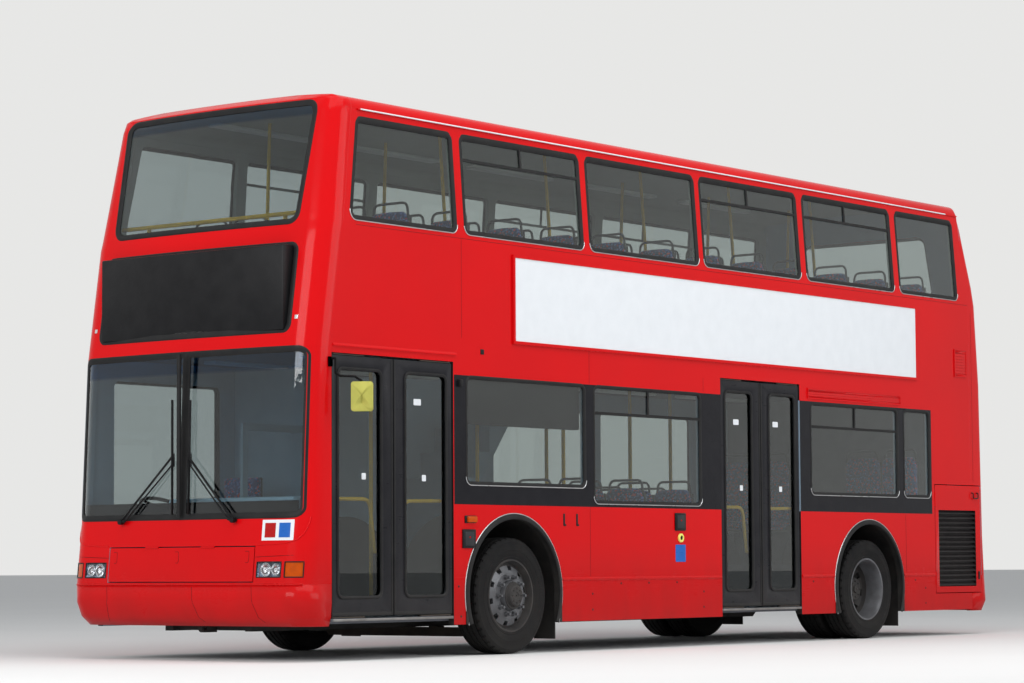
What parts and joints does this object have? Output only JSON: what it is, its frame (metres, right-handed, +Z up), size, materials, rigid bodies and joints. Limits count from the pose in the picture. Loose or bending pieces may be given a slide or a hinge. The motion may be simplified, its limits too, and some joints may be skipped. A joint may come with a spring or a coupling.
{
  "type": "double decker bus",
  "caption": "Red low-floor double decker bus with inward gliding doors, steering, rolling wheels and opening flaps",
  "frame": {"origin": "on the ground at the middle of the overall length and width", "axes": "+Z up, front of the bus towards -Y, nearside with the doors towards +X"},
  "size_m": [3.0934, 10.6798, 4.44],
  "materials": {
    "red_paint": "glossy red coach paint",
    "black_band": "gloss black window surround",
    "clear_glass": "lightly tinted window glass",
    "underframe": "black chassis paint",
    "floor_grey": "grey speckled floor covering",
    "panel_blue": "light blue interior laminate",
    "seat_fabric": "blue moquette",
    "rail_yellow": "yellow handrail coating",
    "trim_black": "black moulded plastic",
    "door_black": "black door frames",
    "lamp_lens": "lamp lenses",
    "board_white": "white side board",
    "axle_iron": "dark forged and cast axle parts",
    "tyre_rubber": "road tyres",
    "rim_steel": "silver grey wheel rims",
    "engine_iron": "engine block"
  },
  "bodies": {
    "body": {"chassis_frame": "underframe", "lower_floor": "floor_grey", "upper_floor": "floor_grey", "front_bumper": "red_paint", "front_panel": "red_paint", "front_dome": "red_paint", "front_glass": "clear_glass", "nearside_lower_side": "red_paint", "nearside_band": "black_band", "nearside_upper_side": "red_paint", "offside_lower_side": "red_paint", "offside_band": "black_band", "offside_upper_side": "red_paint", "roof": "red_paint", "rear_panel": "red_paint", "rear_bumper": "red_paint", "rear_glass": "clear_glass", "side_glass": "clear_glass", "engine": "engine_iron", "side_board": "board_white", "lower_seats": "seat_fabric", "upper_seats": "seat_fabric", "grab_rails": "rail_yellow", "staircase": "panel_blue", "cab_partition": "panel_blue", "dashboard": "panel_blue", "steering_wheel": "trim_black", "driver_seat": "seat_fabric", "mirrors": "trim_black", "wipers": "trim_black", "lamps": "lamp_lens", "wheel_arches": "underframe", "side_mouldings": "red_paint", "side_vents": "red_paint", "window_bars": "trim_black", "front_axle": "axle_iron", "rear_axle": "axle_iron"},
    "knuckle_left": {"knuckle_left": "axle_iron"},
    "knuckle_right": {"knuckle_right": "axle_iron"},
    "front_wheel_left": {"front_rim_left": "rim_steel", "front_tyre_left": "tyre_rubber"},
    "front_wheel_right": {"front_rim_right": "rim_steel", "front_tyre_right": "tyre_rubber"},
    "rear_wheel_left": {"rear_rim_left": "rim_steel", "rear_tyres_left": "tyre_rubber"},
    "rear_wheel_right": {"rear_rim_right": "rim_steel", "rear_tyres_right": "tyre_rubber"},
    "front_flap": {"front_flap": "red_paint"},
    "engine_flap": {"engine_flap": "red_paint"},
    "rear_door": {"rear_door": "red_paint"},
    "cab_door": {"cab_door": "panel_blue"},
    "front_door_fore": {"front_door_fore": "door_black"},
    "front_door_fore_arms": {"front_door_fore_arms": "axle_iron"},
    "front_door_aft": {"front_door_aft": "door_black"},
    "front_door_aft_arms": {"front_door_aft_arms": "axle_iron"},
    "centre_door_fore": {"centre_door_fore": "door_black"},
    "centre_door_fore_arms": {"centre_door_fore_arms": "axle_iron"},
    "centre_door_aft": {"centre_door_aft": "door_black"},
    "centre_door_aft_arms": {"centre_door_aft_arms": "axle_iron"}
  },
  "joints": [
    {"name": "steer_left", "type": "hinge", "parent": "body", "child": "knuckle_left", "pos_m": [0.93, -2.69, 0.478], "axis": [0, 0, 1], "range_deg": [-40, 40]},
    {"name": "steer_right", "type": "hinge", "parent": "body", "child": "knuckle_right", "pos_m": [-0.93, -2.69, 0.478], "axis": [0, 0, 1], "range_deg": [-40, 40]},
    {"name": "front_left_roll", "type": "hinge", "parent": "knuckle_left", "child": "front_wheel_left", "pos_m": [1.1, -2.69, 0.478], "axis": [1, 0, 0], "continuous": true},
    {"name": "rear_left_roll", "type": "hinge", "parent": "body", "child": "rear_wheel_left", "pos_m": [0.9425, 2.94, 0.478], "axis": [1, 0, 0], "continuous": true},
    {"name": "front_right_roll", "type": "hinge", "parent": "knuckle_right", "child": "front_wheel_right", "pos_m": [-1.1, -2.69, 0.478], "axis": [1, 0, 0], "continuous": true},
    {"name": "rear_right_roll", "type": "hinge", "parent": "body", "child": "rear_wheel_right", "pos_m": [-0.9425, 2.94, 0.478], "axis": [1, 0, 0], "continuous": true},
    {"name": "engine_flap_hinge", "type": "hinge", "parent": "body", "child": "engine_flap", "pos_m": [1.26, 4.223, 0.97], "axis": [0, 0, -1], "range_deg": [0, 95]},
    {"name": "rear_door_hinge", "type": "hinge", "parent": "body", "child": "rear_door", "pos_m": [0, 5.27995, 1.552], "axis": [1, 0, 0], "range_deg": [0, 80]},
    {"name": "front_flap_hinge", "type": "hinge", "parent": "body", "child": "front_flap", "pos_m": [0, -5.31343, 0.878], "axis": [-1, 0, 0], "range_deg": [0, 70]},
    {"name": "cab_door_hinge", "type": "hinge", "parent": "body", "child": "cab_door", "pos_m": [-0.36, -3.415, 1.1], "axis": [0, 0, 1], "range_deg": [0, 85]},
    {"name": "front_door_fore_swing", "type": "hinge", "parent": "body", "child": "front_door_fore_arms", "pos_m": [1.232, -4.922, 1.3445], "axis": [0, 0, 1], "range_deg": [0, 90]},
    {"name": "front_door_fore_turn", "type": "hinge", "parent": "front_door_fore_arms", "child": "front_door_fore", "pos_m": [1.232, -4.57425, 1.3445], "axis": [0, 0, 1], "range_deg": [-180, 0]},
    {"name": "front_door_aft_swing", "type": "hinge", "parent": "body", "child": "front_door_aft_arms", "pos_m": [1.232, -3.519, 1.3445], "axis": [0, 0, -1], "range_deg": [0, 90]},
    {"name": "front_door_aft_turn", "type": "hinge", "parent": "front_door_aft_arms", "child": "front_door_aft", "pos_m": [1.232, -3.86675, 1.3445], "axis": [0, 0, -1], "range_deg": [-180, 0]},
    {"name": "centre_door_fore_swing", "type": "hinge", "parent": "body", "child": "centre_door_fore_arms", "pos_m": [1.232, 0.406, 1.3695], "axis": [0, 0, 1], "range_deg": [0, 90]},
    {"name": "centre_door_fore_turn", "type": "hinge", "parent": "centre_door_fore_arms", "child": "centre_door_fore", "pos_m": [1.232, 0.71825, 1.3695], "axis": [0, 0, 1], "range_deg": [-180, 0]},
    {"name": "centre_door_aft_swing", "type": "hinge", "parent": "body", "child": "centre_door_aft_arms", "pos_m": [1.232, 1.667, 1.3695], "axis": [0, 0, -1], "range_deg": [0, 90]},
    {"name": "centre_door_aft_turn", "type": "hinge", "parent": "centre_door_aft_arms", "child": "centre_door_aft", "pos_m": [1.232, 1.35475, 1.3695], "axis": [0, 0, -1], "range_deg": [-180, 0]}
  ],
  "couplings": [
    {"joint": "steer_right", "follows": "steer_left", "ratio": 1},
    {"joint": "front_door_fore_turn", "follows": "front_door_fore_swing", "ratio": -2},
    {"joint": "front_door_aft_turn", "follows": "front_door_aft_swing", "ratio": -2},
    {"joint": "centre_door_fore_turn", "follows": "centre_door_fore_swing", "ratio": -2},
    {"joint": "centre_door_aft_turn", "follows": "centre_door_aft_swing", "ratio": -2}
  ]
}
